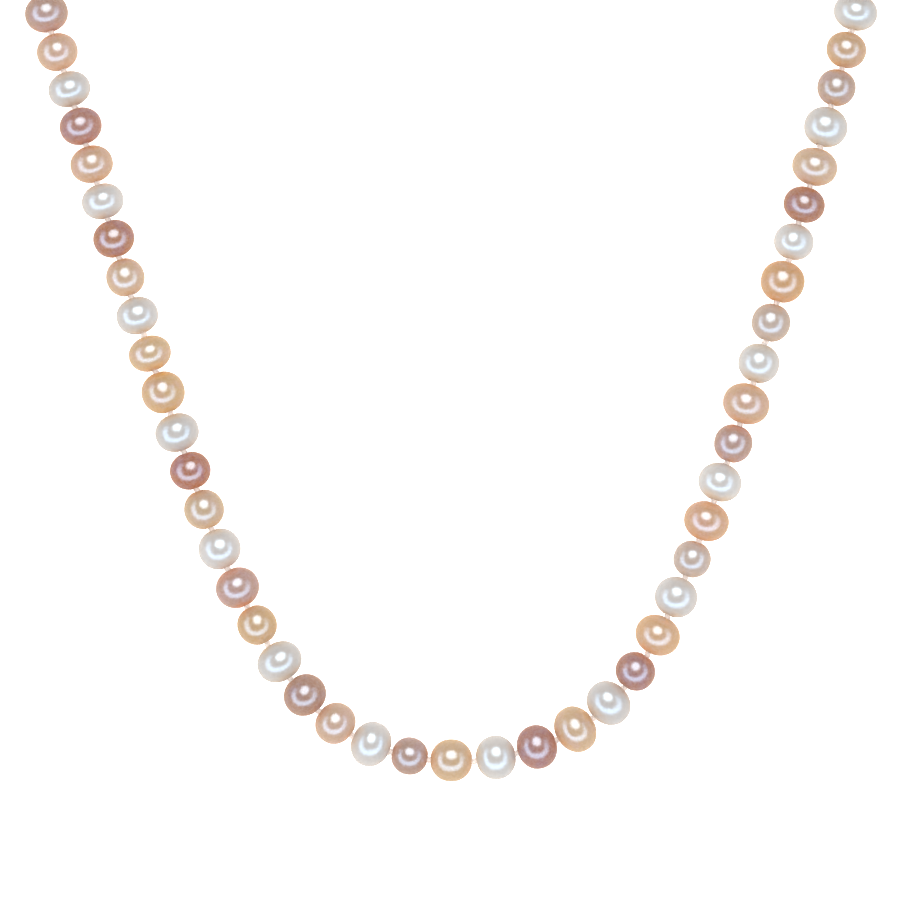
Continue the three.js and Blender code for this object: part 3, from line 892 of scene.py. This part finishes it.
def stage_floor():
    """White paper. Its glow keeps it white under soft light and lights the strand from below.
    Glossy rays miss it, so that the pearls' rims keep their colour."""
    sh = Shader("studio_paper", Roughness=0.9, Specular_IOR_Level=0.1)
    where = sh.add("ShaderNodeTexCoord").outputs["Object"]
    fibres = sh.noise(where, 260.0, 3.0, 0.6)
    broad = sh.noise(where, 9.0, 2.0, 0.5)
    colour = sh.mix(sh.smooth(fibres, 0.35, 0.65), (0.93, 0.93, 0.93), (0.96, 0.96, 0.955))
    colour = sh.mix(sh.smooth(broad, 0.3, 0.7, 0.0, 0.3), colour, (0.94, 0.945, 0.95))
    sh.to(Base_Color=colour, Emission_Color=(1.0, 1.0, 1.0, 1.0), Emission_Strength=1.5)
    points = [(0.0, 0.0, 0.0)] + [(x, y, 0.0) for x, y in round_outline(FLOOR_RADIUS)]
    faces = [(0, k + 1, (k + 1) % ROUND_COUNT + 1) for k in range(ROUND_COUNT)]
    stage_piece("studio_floor", points, faces, sh.material).visible_glossy = False


def stage_backdrop():
    """A pale wall all round, far off, seen by the camera only."""
    sh = Shader("studio_wall", Roughness=0.9, Specular_IOR_Level=0.0)
    weave = sh.noise(sh.add("ShaderNodeTexCoord").outputs["Object"], 1.5, 2.0, 0.5)
    colour = sh.mix(sh.smooth(weave, 0.3, 0.7), (0.93, 0.935, 0.94), (0.96, 0.965, 0.97))
    sh.to(Base_Color=(0.0, 0.0, 0.0), Emission_Color=colour, Emission_Strength=1.0)
    points = [(x, y, z) for z in (-0.01, WALL_HIGH) for x, y in round_outline(WALL_RADIUS)]
    faces = []
    for k in range(ROUND_COUNT):
        after = (k + 1) % ROUND_COUNT
        faces.append((k, after, ROUND_COUNT + after, ROUND_COUNT + k))
    wall = stage_piece("studio_wall", points, faces, sh.material)
    wall.visible_diffuse = wall.visible_glossy = wall.visible_transmission = False
    wall.visible_shadow = False


def panel(name, azimuth, off_axis, wide, high, radiance, colour=(1.0, 1.0, 1.0), round_=False,
          gives="all"):
    """A soft light facing the strand. Its place and its size are angles seen from the strand,
    in degrees: off_axis from straight up, azimuth from +X. It gives all light, or only the
    diffuse light, or only the shine."""
    a, t = math.radians(azimuth), math.radians(off_axis)
    light = bpy.data.lights.new(name, "AREA")
    light.shape = "DISK" if round_ else "RECTANGLE"
    light.size = 2 * LAMP_DISTANCE * math.tan(math.radians(wide / 2))
    area = math.pi * light.size ** 2 / 4
    if not round_:
        light.size_y = 2 * LAMP_DISTANCE * math.tan(math.radians(high / 2))
        area = light.size * light.size_y
    light.energy = radiance * math.pi * area
    light.color = colour
    lamp = bpy.data.objects.new(name, light)
    lamp.location = (LAMP_DISTANCE * math.sin(t) * math.cos(a),
                     LAMP_DISTANCE * math.sin(t) * math.sin(a) + AIM_Y,
                     LAMP_DISTANCE * math.cos(t))
    lamp.rotation_euler = (t, 0, a + math.pi / 2)
    lamp.visible_camera = False
    lamp.visible_diffuse = gives != "shine"
    lamp.visible_glossy = gives != "diffuse"
    bpy.context.scene.collection.objects.link(lamp)
    return lamp


COOL = (0.68, 0.83, 1.0)
stage_floor()
stage_backdrop()
panel("key", 90, 31, 48, 48, 1.5, round_=True)
key_shine = panel("key_shine", 90, 29.5, 50, 50, 5.1, round_=True, gives="shine")
key_shine.light_linking.receiver_collection = pearl_set
panel("front", 265, 52, 60, 40, 1.3, gives="diffuse")
panel("left", 180, 58, 50, 40, 0.5, gives="diffuse")
panel("right", 0, 58, 50, 40, 0.4, gives="diffuse")
# A cool band of light round the front, seen as the crescent in every pearl: azimuth, off_axis
# and share of the full strength of each panel in it.
BAND_HIGH = 27
BAND_RADIANCE = 4.5
BAND = ((155, 66, 0.5), (180, 64, 0.9), (206, 60, 1.0), (232, 54, 1.0), (258, 48, 1.0),
        (284, 47, 1.0), (310, 50, 1.0), (336, 56, 0.9), (2, 59, 0.75), (27, 62, 0.4))
for number, (azimuth, off_axis, share) in enumerate(BAND):
    wide = 26 * math.sin(math.radians(off_axis)) + 1.5
    panel(f"band_{number}", azimuth, off_axis, wide, BAND_HIGH, BAND_RADIANCE * share, COOL,
          gives="shine")

scene = bpy.context.scene
world = bpy.data.worlds.new("studio")
world.use_nodes = True
background = world.node_tree.nodes["Background"]
background.inputs["Color"].default_value = (1.0, 0.96, 0.92, 1.0)
background.inputs["Strength"].default_value = 0.42
scene.world = world
scene.view_settings.view_transform = "Standard"
scene.view_settings.look = "None"

# Straight down from above, a long lens, with a quarter degree of roll.
camera_data = bpy.data.cameras.new("camera")
camera_data.sensor_width = 36.0
camera_data.lens = 213.0
camera = bpy.data.objects.new("camera", camera_data)
camera.location = (0.00002, -0.03216, 0.8020)
camera.rotation_euler = (0.0, 0.0, 0.0045)
scene.collection.objects.link(camera)
scene.camera = camera
